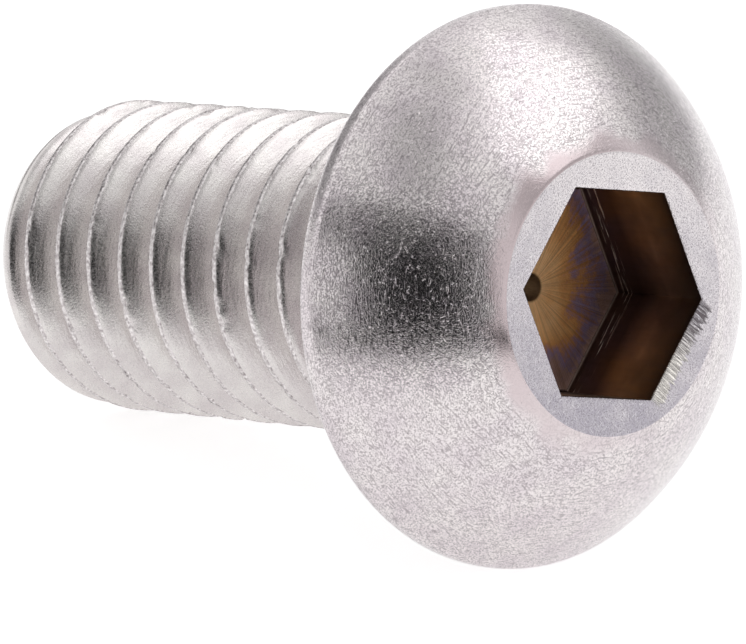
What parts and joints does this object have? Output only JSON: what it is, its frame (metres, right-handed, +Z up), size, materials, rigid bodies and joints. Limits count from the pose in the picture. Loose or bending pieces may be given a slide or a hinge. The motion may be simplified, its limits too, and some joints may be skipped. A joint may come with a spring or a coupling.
{
  "type": "button head screw",
  "caption": "Short metric machine screw with a low domed head, a hexagon socket with a flat land round it, and a fully threaded shank with a tapered point",
  "frame": {"origin": "on the ground under the middle of the lying screw", "axes": "+Z up, +X from the tip towards the head along the ground; the screw's own axis rises towards the head by 11.2 degrees in the XZ plane"},
  "size_m": [0.0208, 0.014, 0.0138],
  "materials": {
    "stainless_steel": "tumbled, with fine scratches, and heat-tinted inside the socket"
  },
  "bodies": {
    "root": {"button_head_screw": "stainless_steel"}
  },
  "joints": []
}
